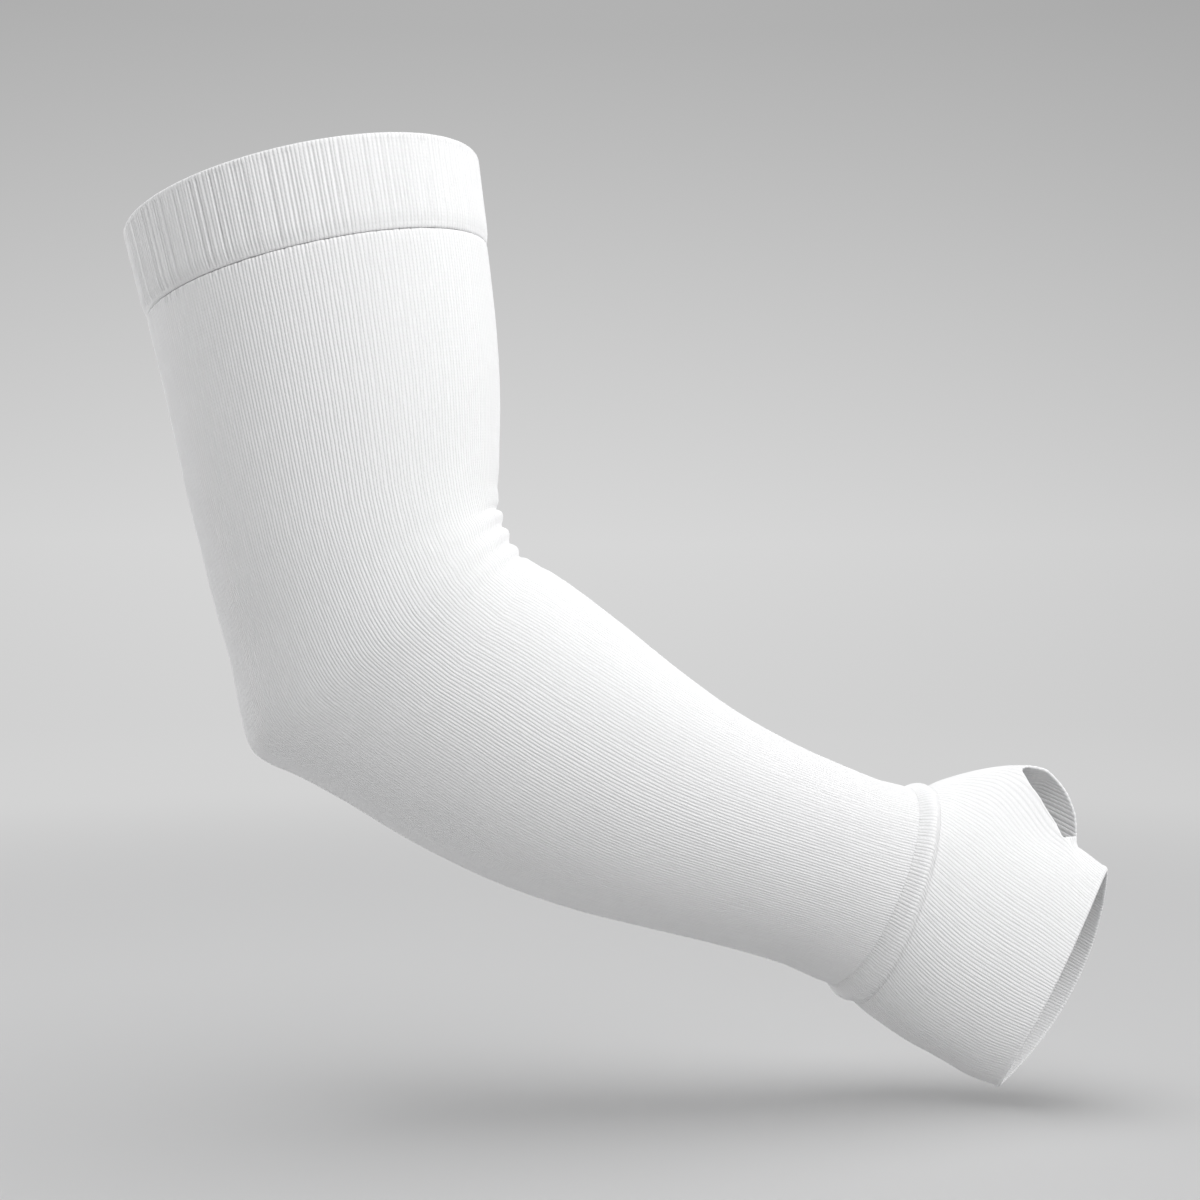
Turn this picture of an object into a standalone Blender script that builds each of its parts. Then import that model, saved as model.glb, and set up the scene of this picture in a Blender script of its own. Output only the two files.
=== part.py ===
"""Knitted arm sleeve for a bent right arm: top band, sleeve tube, wrist welt and hand cover.

Metres, +Z up. The origin is the centre of the top edge, where the arm goes in. X runs from the
elbow's side to the hand, and Y away from the side that shows the back of the hand. Every piece is a
ring-shaped solid swept round one arm form: a centre line that bends at the elbow, with a section at
each station along it.
"""

import math

import bmesh
import bpy
import numpy as np
from mathutils import Matrix, Vector

# Lengths along the centre line
UPPER_LENGTH = 0.172
FOREARM_LENGTH = 0.2190
HAND_LENGTH = 0.0760

# Widths across the arm, in the plane of the elbow's bend
CUFF_WIDTH = 0.1374
ELBOW_WIDTH = 0.1255
FOREARM_WIDTH = 0.1135
WRIST_WIDTH = 0.0795
HAND_WIDTH = 0.0945

# Cloth and seams
KNIT_WALL = 0.0013
SEAM_GAP = 0.0003
BAND_HEIGHT = 0.0335
BAND_WALL = 0.0024
BAND_PROUD = 0.0008
BAND_LAP = 0.006
WELT_WIDTH = 0.0100
WELT_PROUD = 0.0016
WELT_SEAT = 0.0010
NECK_LENGTH = 0.004

# Hem of the hand cover, whose middle stands out past its two corners
HEM_BOW = 0.0055

# Thumb: a bulge on the hand's upper edge, sliced open
THUMB_RISE = 0.0232
THUMB_REACH = 0.0465
THUMB_ROOT = 0.0630
THUMB_FALL = 0.007
THUMB_TURN_DEG = 14.0
THUMB_NEAR_SPREAD_DEG = 42.0
THUMB_FAR_SPREAD_DEG = 54.0
THUMB_ROUNDNESS = 2.8
MOUTH_TILT_DEG = 32.0
MOUTH_RADIUS = 0.018
MOUTH_DEPTH = 0.040

# Fineness of the faceted solids
SIDES = 32
HAND_SIDES = 48
MOUTH_SIDES = 48
EDGE_STEPS = 4
WELT_STEPS = 8
STEPS_PER_PATH = 600
TUBE_RING_SPACING = 0.0180
FOREARM_RING_SPACING = 0.0135
CROOK_RING_SPACING = 0.0023
HAND_RING_SPACING = 0.0042
BAND_RING_SPACING = 0.0112
CROOK_STATIONS = (0.84, 1.09)
NECK_DRAW_IN = 0.4
LONGEST_MITRE = 2.0
SHARP_ANGLE_DEG = 50.0

# Sections of the arm form. station: 0 top edge, 1 elbow, 2 wrist welt, 3 hem. heading: of the
# centre line, degrees from straight down towards the hand. lean: degrees away from the near side.
# ring: the section's slope, in degrees. width: across the arm. depth: share of the width. skew: how
# far the near side leans to the inside of the elbow. egg: fuller on the inside of the elbow.
# edge: 1 oval, 2 pointed.
SECTION_COLUMNS = ("station", "heading", "lean", "ring", "width", "depth", "skew", "egg", "edge")
SECTIONS = (
    (0.00, 11.2, -3.7, 11.5, 1.000 * CUFF_WIDTH, 0.95, 0.16, 0.00, 1.0),
    (0.19, 11.0, -3.0, 11.9, 0.968 * CUFF_WIDTH, 0.94, 0.16, 0.00, 1.0),
    (0.37, 9.8, -3.5, 12.7, 0.940 * CUFF_WIDTH, 0.92, 0.16, 0.00, 1.0),
    (0.55, 8.3, -4.0, 16.0, 0.908 * CUFF_WIDTH, 0.90, 0.16, 0.02, 1.0),
    (0.735, 9.1, -3.5, 22.6, 0.868 * CUFF_WIDTH, 0.88, 0.16, 0.05, 1.0),
    (0.855, 12.1, -2.5, 29.9, 0.940 * ELBOW_WIDTH, 0.86, 0.18, 0.09, 1.0),
    (0.96, 18.0, -1.0, 38.1, 0.992 * ELBOW_WIDTH, 0.81, 0.20, 0.14, 1.0),
    (1.00, 30.0, 0.0, 40.0, 1.004 * ELBOW_WIDTH, 0.80, 0.20, 0.16, 1.0),
    (1.033, 48.0, 0.5, 41.4, 0.981 * ELBOW_WIDTH, 0.81, 0.20, 0.16, 1.0),
    (1.065, 58.0, 1.0, 43.8, 0.945 * ELBOW_WIDTH, 0.83, 0.20, 0.14, 1.0),
    (1.133, 59.5, 2.0, 50.7, 1.011 * FOREARM_WIDTH, 0.85, 0.20, 0.08, 1.0),
    (1.215, 58.0, 3.0, 58.9, 1.003 * FOREARM_WIDTH, 0.85, 0.22, 0.04, 1.0),
    (1.335, 58.2, 4.0, 60.4, 0.966 * FOREARM_WIDTH, 0.85, 0.24, 0.00, 1.0),
    (1.49, 62.0, 5.0, 61.0, 0.876 * FOREARM_WIDTH, 0.85, 0.26, 0.00, 1.0),
    (1.64, 68.0, 6.0, 61.5, 0.778 * FOREARM_WIDTH, 0.84, 0.30, 0.00, 1.0),
    (1.79, 70.5, 8.0, 63.2, 1.016 * WRIST_WIDTH, 0.82, 0.34, 0.00, 1.0),
    (1.905, 69.0, 11.5, 66.3, 0.985 * WRIST_WIDTH, 0.79, 0.36, 0.00, 1.0),
    (2.00, 67.5, 14.0, 72.7, 1.060 * WRIST_WIDTH, 0.76, 0.36, 0.00, 1.0),
    (2.10, 64.5, 11.0, 73.4, 0.960 * HAND_WIDTH, 0.68, 0.30, 0.00, 1.0),
    (2.45, 64.0, -3.0, 72.6, 1.050 * HAND_WIDTH, 0.56, 0.15, 0.00, 1.1),
    (2.78, 63.0, -15.0, 66.0, 1.050 * HAND_WIDTH, 0.48, 0.05, 0.00, 1.3),
    (3.00, 62.0, -28.0, 63.4, 1.000 * HAND_WIDTH, 0.43, 0.00, 0.00, 1.55),
)

# Folds, and the elbow's point. station: place along the arm. turn_deg: place round it, from the
# inside of the elbow. dip: how far the cloth goes in. length: of the dip, along the arm. reach_deg:
# how far it runs each way round the arm.
CREASE_DIP = 0.0020
CREASE_LENGTH = 0.0050
ELBOW_POINT_RISE = 0.0016
ELBOW_POINT_LENGTH = 0.0300
FOLD_COLUMNS = ("station", "turn_deg", "dip", "length", "reach_deg")
FOLDS = (
    (0.885, 0.0, 0.85 * CREASE_DIP, 1.24 * CREASE_LENGTH, 32.0),
    (0.950, 0.0, 1.10 * CREASE_DIP, 1.20 * CREASE_LENGTH, 40.0),
    (1.005, 0.0, 1.10 * CREASE_DIP, 1.12 * CREASE_LENGTH, 42.0),
    (1.055, 0.0, 0.90 * CREASE_DIP, 1.12 * CREASE_LENGTH, 34.0),
    (1.000, 180.0, -1.0 * ELBOW_POINT_RISE, 1.0 * ELBOW_POINT_LENGTH, 40.0),
)

WHITE_KNIT = (0.86, 0.86, 0.87, 1.0)
KNIT_ROUGHNESS = 0.85


def clear_scene():
    for old in list(bpy.data.objects):
        bpy.data.objects.remove(old, do_unlink=True)


def smooth_column(places, values, where):
    """Values between the table's rows, on a curve with no overshoot."""
    places, values, where = (np.asarray(a, float) for a in (places, values, where))
    step = np.diff(places)
    secant = np.diff(values) / step
    slope = np.empty_like(values)
    slope[0], slope[-1] = secant[0], secant[-1]
    left, right = secant[:-1], secant[1:]
    same_way = left * right > 0
    harmonic = np.where(same_way, 2 * left * right / np.where(same_way, left + right, 1.0), 0.0)
    slope[1:-1] = harmonic
    where = np.clip(where, places[0], places[-1])
    i = np.clip(np.searchsorted(places, where) - 1, 0, len(step) - 1)
    u = (where - places[i]) / step[i]
    return (
        values[i] * (1 + 2 * u) * (1 - u) ** 2
        + slope[i] * step[i] * u * (1 - u) ** 2
        + values[i + 1] * u**2 * (3 - 2 * u)
        - slope[i + 1] * step[i] * u**2 * (1 - u)
    )


def section_value(name, station):
    rows = np.array(SECTIONS, float)
    return smooth_column(rows[:, 0], rows[:, SECTION_COLUMNS.index(name)], station)


# Sizes that follow from those above
BAND_SEAT = BAND_WALL - BAND_PROUD
BAND_EDGE_BULGE = BAND_WALL / 2
WELT_HALF = WELT_WIDTH / 2
STATION_LENGTHS = np.cumsum((0.0, UPPER_LENGTH, FOREARM_LENGTH, HAND_LENGTH))
WRIST_AT = STATION_LENGTHS[2]
HEM_AT = STATION_LENGTHS[3]


def station_at(length):
    return np.interp(length, STATION_LENGTHS, range(len(STATION_LENGTHS)))


def length_at(station):
    return np.interp(station, range(len(STATION_LENGTHS)), STATION_LENGTHS)


def centre_line():
    """Lengths along the centre line and its points, summed from the headings in the table."""
    lengths = np.linspace(0.0, HEM_AT, STEPS_PER_PATH + 1)
    middles = station_at((lengths[:-1] + lengths[1:]) / 2)
    heading = np.radians(section_value("heading", middles))
    lean = np.radians(section_value("lean", middles))
    level = np.cos(lean)
    steps = np.column_stack((np.sin(heading) * level, np.sin(lean), -np.cos(heading) * level))
    points = np.vstack((np.zeros(3), np.cumsum(steps, axis=0) * (lengths[1] - lengths[0])))
    return lengths, points


PATH_LENGTHS, PATH_POINTS = centre_line()


def ring_frame(length):
    """Centre of the section there, and its directions: across, depth and along the arm."""
    station = station_at(length)
    centre = np.array([np.interp(length, PATH_LENGTHS, column) for column in PATH_POINTS.T])
    ring = math.radians(section_value("ring", station))
    lean = math.radians(section_value("lean", station))
    across = np.array((math.cos(ring), 0.0, math.sin(ring)))
    along = np.array((math.sin(ring), 0.0, -math.cos(ring)))
    depth = np.array((0.0, math.cos(lean), 0.0)) - along * math.sin(lean)
    return centre, across, depth, along


def wrapped(angle):
    """The angle brought between minus half a turn and half a turn."""
    return (np.asarray(angle) + math.pi) % (2 * math.pi) - math.pi


def fold_dip(length, turns):
    """How far the folds pull the cloth in at each turn angle."""
    total = np.zeros_like(turns)
    for row in FOLDS:
        fold = dict(zip(FOLD_COLUMNS, row))
        along = (length - length_at(fold["station"])) / (fold["length"] / 2)
        around = np.degrees(wrapped(turns - math.radians(fold["turn_deg"]))) / fold["reach_deg"]
        total += fold["dip"] * np.exp(-(along**2) - around**2)
    return total


def thumb_bulge(length, turns):
    """How far the thumb's bulge stands out from the hand, before its mouth is sliced open."""
    past_wrist = length - WRIST_AT
    rise = np.clip((past_wrist - WELT_HALF) / (THUMB_REACH - WELT_HALF), 0.0, 1.0)
    fall = np.clip((THUMB_ROOT - past_wrist) / THUMB_FALL, 0.0, 1.0)
    off_middle = np.degrees(wrapped(turns - math.radians(THUMB_TURN_DEG)))
    spread = np.where(off_middle < 0, THUMB_NEAR_SPREAD_DEG, THUMB_FAR_SPREAD_DEG)
    crown = np.exp(-(np.abs(off_middle / spread) ** THUMB_ROUNDNESS))
    return THUMB_RISE * rise * fall**2 * (3 - 2 * fall) * crown


def section_outline(length, turns):
    """The section's outline in its own plane: across and depth, one row for each turn angle."""
    station = station_at(length)
    half_width = section_value("width", station) / 2
    half_depth = half_width * section_value("depth", station)
    skew = section_value("skew", station)
    egg = section_value("egg", station)
    edge = section_value("edge", station)
    sine, cosine = np.sin(turns), np.cos(turns)
    depth = half_depth * np.sign(sine) * np.abs(sine) ** edge * (1 + egg * cosine)
    across = half_width * cosine - skew * depth + thumb_bulge(length, turns)
    across -= fold_dip(length, turns) * cosine
    return np.column_stack((across, depth))


def mitred_normals(outline):
    """Vector at each corner of a closed outline that moves both its sides outward by one unit."""
    along = np.roll(outline, -1, axis=0) - outline
    after = np.column_stack((along[:, 1], -along[:, 0])) / np.linalg.norm(along, axis=1)[:, None]
    middle = after + np.roll(after, 1, axis=0)
    middle /= np.linalg.norm(middle, axis=1)[:, None]
    return middle / np.maximum((middle * after).sum(axis=1), 1 / LONGEST_MITRE)[:, None]


def ring_points(length, inset, sides=SIDES):
    """Points round the arm at that length, moved in from its skin by the inset."""
    turns = np.arange(sides) * 2 * math.pi / sides
    outline = section_outline(length, turns)
    outline = outline - mitred_normals(outline) * inset
    centre, across, depth, along = ring_frame(length)
    bow = HEM_BOW * np.clip((length - WRIST_AT) / HAND_LENGTH, 0.0, 1.0) ** 2 * np.sin(turns) ** 2
    section = np.outer(outline[:, 0], across) + np.outer(outline[:, 1], depth)
    return centre + section + np.outer(bow, along)


def white_material(name):
    material = bpy.data.materials.new(name)
    material.use_nodes = True
    shader = material.node_tree.nodes["Principled BSDF"]
    shader.inputs["Base Color"].default_value = WHITE_KNIT
    shader.inputs["Roughness"].default_value = KNIT_ROUGHNESS
    shader.inputs["Metallic"].default_value = 0.0
    material.diffuse_color = WHITE_KNIT
    return material


def add_object(name, mesh):
    piece = bpy.data.objects.new(name, mesh)
    bpy.context.scene.collection.objects.link(piece)
    return piece


def swept_piece(name, profile, sides=SIDES):
    """A closed ring of cloth. Its profile is a loop of (length along the arm, inset from the skin)."""
    rings = [ring_points(length, inset, sides) for length, inset in profile]
    mesh = bpy.data.meshes.new(name)
    cloth = bmesh.new()
    rows = [[cloth.verts.new(point) for point in ring] for ring in rings]
    for row, following in zip(rows, rows[1:] + rows[:1]):
        for i in range(sides):
            j = (i + 1) % sides
            cloth.faces.new((row[i], row[j], following[j], following[i]))
    bmesh.ops.recalc_face_normals(cloth, faces=cloth.faces)
    cloth.to_mesh(mesh)
    cloth.free()
    mesh.shade_smooth()
    mesh.set_sharp_from_angle(angle=math.radians(SHARP_ANGLE_DEG))
    mesh.materials.append(white_material(name + "_knit"))
    return add_object(name, mesh)


def edge_arc(length, inset_out, inset_in, bulge):
    """Points of a rounded edge, from the outer inset to the inner one, standing out by the bulge."""
    angles = np.linspace(0.0, math.pi, EDGE_STEPS + 1)
    middle, half = (inset_out + inset_in) / 2, (inset_in - inset_out) / 2
    return [(length + bulge * math.sin(a), middle - half * math.cos(a)) for a in angles]


def there_and_back(outer, wall):
    """A closed profile: out along the outer skin's (length, inset) points and back a wall further in."""
    return list(outer) + [(length, inset + wall) for length, inset in reversed(outer)]


def neck(end, edge, clear, draw_in):
    """Points from the cloth's tucked end, past the edge that covers it, to just short of its skin."""
    return [(end, draw_in), (edge, draw_in), (edge + (clear - edge) / 3, NECK_DRAW_IN * draw_in)]


def even_lengths(start, end, spacing):
    count = max(1, round((end - start) / spacing))
    return list(np.linspace(start, end, count + 1))


def upper_band():
    """The doubled band at the top, its cloth turned over at both edges."""
    top, bottom = BAND_EDGE_BULGE, BAND_HEIGHT - BAND_EDGE_BULGE
    lengths = even_lengths(top, bottom, BAND_RING_SPACING)
    lower_edge = edge_arc(bottom, -BAND_PROUD, BAND_SEAT, BAND_EDGE_BULGE)
    upper_edge = edge_arc(top, -BAND_PROUD, BAND_SEAT, -BAND_EDGE_BULGE)
    outer = [(length, -BAND_PROUD) for length in lengths[1:-1]]
    inner = [(length, BAND_SEAT) for length in reversed(lengths[1:-1])]
    return swept_piece("upper_band", outer + lower_edge + inner + upper_edge[::-1])


def sleeve_body():
    """The long tube, tucked into the band above and under the welt at the wrist."""
    start, end = BAND_HEIGHT - BAND_LAP, WRIST_AT - SEAM_GAP
    crook_start, crook_end = (length_at(station) for station in CROOK_STATIONS)
    upper_neck = BAND_HEIGHT + NECK_LENGTH
    wrist_neck = WRIST_AT - WELT_HALF - NECK_LENGTH
    lengths = even_lengths(upper_neck, crook_start, TUBE_RING_SPACING)
    lengths += even_lengths(crook_start, crook_end, CROOK_RING_SPACING)[1:]
    lengths += even_lengths(crook_end, wrist_neck, FOREARM_RING_SPACING)[1:]
    outer = neck(start, BAND_HEIGHT, upper_neck, BAND_SEAT + SEAM_GAP)
    outer += [(length, 0.0) for length in lengths]
    outer += reversed(neck(end, WRIST_AT - WELT_HALF, wrist_neck, WELT_SEAT + SEAM_GAP))
    return swept_piece("sleeve_body", there_and_back(outer, KNIT_WALL))


def wrist_welt():
    """The raised welt round the wrist, seated over the ends of the tube and the hand cover."""
    height = WELT_SEAT + WELT_PROUD
    arc = [
        (WRIST_AT - WELT_HALF * math.cos(a), WELT_SEAT - height * math.sin(a))
        for a in np.linspace(0.0, math.pi, WELT_STEPS + 1)
    ]
    return swept_piece("wrist_welt", arc + [(WRIST_AT, WELT_SEAT)], HAND_SIDES)


def thumb_crest(past_wrist):
    """The point on the crest of the thumb's bulge that lies that far past the wrist."""
    length = WRIST_AT + past_wrist
    centre, across, depth, _ = ring_frame(length)
    outline = section_outline(length, np.radians((THUMB_TURN_DEG,)))[0]
    return Vector(centre + outline[0] * across + outline[1] * depth)


def mouth_cutter():
    """The bar that opens the thumb's bulge. Its flat end is the mouth, its underside the thumb's root."""
    top = thumb_crest(THUMB_REACH)
    root = thumb_crest(THUMB_ROOT)
    upward = (top - root).normalized()
    outward = Vector((0.0, 1.0, 0.0)).cross(upward).normalized()
    outward.rotate(Matrix.Rotation(-math.radians(MOUTH_TILT_DEG), 3, upward))
    sideways = upward.cross(outward)
    cutter = bmesh.new()
    bmesh.ops.create_cone(
        cutter,
        cap_ends=True,
        segments=MOUTH_SIDES,
        radius1=MOUTH_RADIUS,
        radius2=MOUTH_RADIUS,
        depth=MOUTH_DEPTH,
    )
    mesh = bpy.data.meshes.new("mouth_cutter")
    turn = Matrix((sideways, upward, -outward)).transposed().to_4x4()
    middle = root + upward * MOUTH_RADIUS + outward * (MOUTH_DEPTH / 2)
    bmesh.ops.transform(cutter, matrix=Matrix.Translation(middle) @ turn, verts=cutter.verts)
    bmesh.ops.recalc_face_normals(cutter, faces=cutter.faces)
    cutter.to_mesh(mesh)
    cutter.free()
    bar = add_object("mouth_cutter", mesh)
    bar.hide_render = True
    bar.display_type = "WIRE"
    return bar


def hand_cover():
    """The mitt-like end: a flattened tube with a hem, and the thumb's bulge with its mouth cut open."""
    hand_neck = WRIST_AT + WELT_HALF + NECK_LENGTH
    outer = neck(WRIST_AT + SEAM_GAP, WRIST_AT + WELT_HALF, hand_neck, WELT_SEAT + SEAM_GAP)
    outer += [(length, 0.0) for length in even_lengths(hand_neck, HEM_AT, HAND_RING_SPACING)]
    cover = swept_piece("hand_cover", there_and_back(outer, KNIT_WALL), HAND_SIDES)
    mouth = cover.modifiers.new("thumb_mouth", "BOOLEAN")
    mouth.operation = "DIFFERENCE"
    mouth.object = mouth_cutter()
    return cover


def main():
    clear_scene()
    upper_band()
    sleeve_body()
    wrist_welt()
    hand_cover()


main()
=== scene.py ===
"""Looks of the knitted arm sleeve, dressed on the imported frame.

Metres, +Z up. The origin is the centre of the top edge. X runs from the elbow's side to the hand,
and Y away from the camera. The cloth is swept round the same arm form as the solids, with three
columns of points for each knitted rib.
"""

from collections import namedtuple
import math

import bmesh
import bpy
import numpy as np
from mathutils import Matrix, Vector


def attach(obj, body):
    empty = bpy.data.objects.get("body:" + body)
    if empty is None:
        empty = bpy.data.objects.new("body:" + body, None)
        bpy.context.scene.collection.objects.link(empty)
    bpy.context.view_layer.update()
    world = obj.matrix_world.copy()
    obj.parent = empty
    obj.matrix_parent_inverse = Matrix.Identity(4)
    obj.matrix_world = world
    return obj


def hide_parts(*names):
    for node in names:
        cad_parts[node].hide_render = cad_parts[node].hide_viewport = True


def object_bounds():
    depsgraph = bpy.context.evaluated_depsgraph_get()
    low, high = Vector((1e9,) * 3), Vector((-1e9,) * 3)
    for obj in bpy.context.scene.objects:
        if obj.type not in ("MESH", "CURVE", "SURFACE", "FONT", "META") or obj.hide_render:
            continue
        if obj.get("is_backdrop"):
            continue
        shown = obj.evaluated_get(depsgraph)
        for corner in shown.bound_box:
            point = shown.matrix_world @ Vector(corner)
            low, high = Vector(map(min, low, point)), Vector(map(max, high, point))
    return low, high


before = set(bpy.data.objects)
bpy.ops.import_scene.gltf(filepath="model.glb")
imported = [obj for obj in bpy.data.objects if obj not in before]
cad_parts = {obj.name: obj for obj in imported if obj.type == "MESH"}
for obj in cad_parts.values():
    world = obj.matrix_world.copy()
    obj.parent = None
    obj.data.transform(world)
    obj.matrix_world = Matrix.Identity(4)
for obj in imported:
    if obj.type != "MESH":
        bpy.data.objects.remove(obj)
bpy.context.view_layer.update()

# Lengths along the centre line, and widths across the arm in the plane of the elbow's bend
UPPER_LENGTH = 0.172
FOREARM_LENGTH = 0.2190
HAND_LENGTH = 0.0760
CUFF_WIDTH = 0.1374
ELBOW_WIDTH = 0.1255
FOREARM_WIDTH = 0.1135
WRIST_WIDTH = 0.0795
HAND_WIDTH = 0.0945

# Cloth and seams
KNIT_WALL = 0.0013
SEAM_GAP = 0.0003
BAND_HEIGHT = 0.0335
BAND_WALL = 0.0024
BAND_PROUD = 0.0008
BAND_LAP = 0.006
WELT_WIDTH = 0.0100
WELT_PROUD = 0.0016
WELT_SEAT = 0.0010
HEM_BOW = 0.0055

# Thumb: a bulge on the hand's upper edge. Its near flank draws in towards the hem, from a start and over a
# run that are shares of the thumb's reach.
THUMB_RISE = 0.0244
THUMB_REACH = 0.0465
THUMB_FALL = 0.0090
THUMB_TURN_DEG = 14.0
THUMB_NEAR_SPREAD_DEG = 42.0
THUMB_NEAR_NARROWING_DEG = 16.0
THUMB_FAR_SPREAD_DEG = 54.0
THUMB_ROUNDNESS = 2.8
THUMB_NARROWING_START = 0.6
THUMB_NARROWING_RUN = 0.6

# The lip of the thumb's mouth: its place past the wrist for each turn angle, from the near side over the
# crest to the far side. What stands higher than the sill past the lip is cut out. The bulge falls away
# from the web on, by the hem.
LIP_COLUMNS = ("turn_deg", "past_wrist")
THUMB_LIP = (
    (-26.0, 1.30 * THUMB_REACH),
    (-16.0, 1.15 * THUMB_REACH),
    (-14.0, 1.03 * THUMB_REACH),
    (-11.0, 0.91 * THUMB_REACH),
    (-3.0, 0.84 * THUMB_REACH),
    (7.0, 0.89 * THUMB_REACH),
    (14.0, 0.97 * THUMB_REACH),
    (22.0, 1.07 * THUMB_REACH),
    (30.0, 1.16 * THUMB_REACH),
    (40.0, 1.25 * THUMB_REACH),
    (50.0, 1.30 * THUMB_REACH),
    (70.0, 1.33 * THUMB_REACH),
)
MOUTH_SILL = 0.0030
THUMB_WEB = 1.18 * THUMB_REACH

# Soft edges: the band's rolled lower edge with the cloth's shoulder under it, the shallow grooves beside the
# wrist's welt, and the hem's rolled rim
BAND_ROLL = 0.0065
BAND_ROLL_DROP = 0.0012
SHOULDER_START = 0.0005
SHOULDER_LENGTH = 0.0012
WELT_REACH = 0.0056
GROOVE_DIP = 0.0008
GROOVE_LENGTH = 0.0065
DIVE_LENGTH = 0.0009
HEM_BEAD = 0.00025
HEM_BEAD_LENGTH = 0.0007

# Knit. far_crowding: how much closer the ribs lie on the far side of the wrist than their mean, as a share
Knit = namedtuple("Knit", ("ribs", "far_crowding"))
ARM_KNIT = Knit(280, 0.30)
HAND_KNIT = Knit(176, 0.0)
RIB_SHAPE = (-2 / 3, 1 / 3, 1 / 3)
POINTS_PER_RIB = len(RIB_SHAPE)
RIB_RELIEF = 0.00008
RELIEF_CHANGE = 0.35
RELIEF_WAVE = 0.0045
RIB_JITTER = 0.10
KNIT_SEED = 5
COURSE_HEIGHT = 0.0013
FAR_TURN = math.pi / 2

# Puckers under the band. shape: how far each point of a rib follows the pull
PUCKER_LENGTH = 0.0030
PUCKER_DEPTH = 0.0009
PUCKER_PULL = (0.1, 1.0)
PUCKER_CONTRAST = 3
PUCKER_SHAPE = (1.0, 0.2, 0.2)

# Fineness of the meshes: spacing of the rows along the arm, in metres
BAND_SPACING = 0.0012
SHOULDER_SPACING = 0.0003
PUCKER_SPACING = 0.0013
PLAIN_SPACING = 0.0100
FOLD_SPACING = 0.0017
HAND_SPACING = 0.0012
INNER_PLAIN_SPACING = 0.030
INNER_FOLD_SPACING = 0.0050

# Fineness of the meshes: rows given by shares or counts, and samples
FOLDS_SPAN = (0.80, 1.09)
DIVE_SHARES = (1.0, 0.75, 0.5, 0.25, 0.0)
GROOVE_SHARES = (0.15, 0.35, 0.6, 0.8)
WELT_ROWS = 21
WELT_INNER_SHARES = (0.9, 0.5, 0.0, -0.5, -0.9)
WELT_EDGE_RELIEF = 0.5
BAND_INNER_STRIDE = 4
BAND_EDGE_STEPS = 8
RIM_STEPS = 4
ARC_SAMPLES = 360
STEPS_PER_PATH = 600
GIRTH_SAMPLES = 25
MITRE_LIMIT = 0.5

# Sections of the arm form. station: 0 top edge, 1 elbow, 2 wrist welt, 3 hem. heading: centre line, in
# degrees from straight down towards the hand. lean: degrees away from the near side. ring: the section's
# slope, in degrees. width: across the arm. depth: share of the width. skew: how far the near side leans to
# the inside of the elbow. egg: fuller on the inside of the elbow. edge: 1 oval, more than 1 pointed.
SECTION_COLUMNS = ("station", "heading", "lean", "ring", "width", "depth", "skew", "egg", "edge")
SECTIONS = (
    (0.00, 11.2, -3.7, 11.5, 1.000 * CUFF_WIDTH, 0.95, 0.16, 0.00, 1.0),
    (0.19, 11.0, -3.0, 11.9, 0.968 * CUFF_WIDTH, 0.94, 0.16, 0.00, 1.0),
    (0.37, 9.8, -3.5, 12.7, 0.940 * CUFF_WIDTH, 0.92, 0.16, 0.00, 1.0),
    (0.55, 8.3, -4.0, 16.0, 0.908 * CUFF_WIDTH, 0.90, 0.16, 0.02, 1.0),
    (0.735, 9.1, -3.5, 22.6, 0.868 * CUFF_WIDTH, 0.88, 0.16, 0.05, 1.0),
    (0.855, 12.1, -2.5, 29.9, 0.940 * ELBOW_WIDTH, 0.86, 0.18, 0.09, 1.0),
    (0.96, 18.0, -1.0, 38.1, 0.992 * ELBOW_WIDTH, 0.81, 0.20, 0.14, 1.0),
    (1.00, 30.0, 0.0, 40.0, 1.004 * ELBOW_WIDTH, 0.80, 0.20, 0.16, 1.0),
    (1.033, 48.0, 0.5, 41.4, 0.981 * ELBOW_WIDTH, 0.81, 0.20, 0.16, 1.0),
    (1.065, 58.0, 1.0, 43.8, 0.945 * ELBOW_WIDTH, 0.83, 0.20, 0.14, 1.0),
    (1.133, 59.5, 2.0, 50.7, 1.011 * FOREARM_WIDTH, 0.85, 0.20, 0.08, 1.0),
    (1.215, 58.0, 3.0, 58.9, 1.003 * FOREARM_WIDTH, 0.85, 0.22, 0.04, 1.0),
    (1.335, 58.2, 4.0, 60.4, 0.966 * FOREARM_WIDTH, 0.85, 0.24, 0.00, 1.0),
    (1.49, 62.0, 5.0, 61.0, 0.876 * FOREARM_WIDTH, 0.85, 0.26, 0.00, 1.0),
    (1.64, 68.0, 6.0, 61.5, 0.778 * FOREARM_WIDTH, 0.84, 0.30, 0.00, 1.0),
    (1.79, 70.5, 8.0, 63.2, 1.016 * WRIST_WIDTH, 0.82, 0.34, 0.00, 1.0),
    (1.905, 69.0, 11.5, 66.3, 0.985 * WRIST_WIDTH, 0.79, 0.36, 0.00, 1.0),
    (2.00, 67.5, 14.0, 72.7, 1.060 * WRIST_WIDTH, 0.76, 0.36, 0.00, 1.0),
    (2.10, 64.5, 11.0, 73.4, 0.960 * HAND_WIDTH, 0.68, 0.30, 0.00, 1.0),
    (2.45, 64.0, -3.0, 72.6, 1.050 * HAND_WIDTH, 0.56, 0.15, 0.00, 1.1),
    (2.78, 63.0, -15.0, 66.0, 1.050 * HAND_WIDTH, 0.48, 0.05, 0.00, 1.3),
    (3.00, 62.0, -28.0, 63.4, 1.000 * HAND_WIDTH, 0.43, 0.00, 0.00, 1.55),
)

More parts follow.
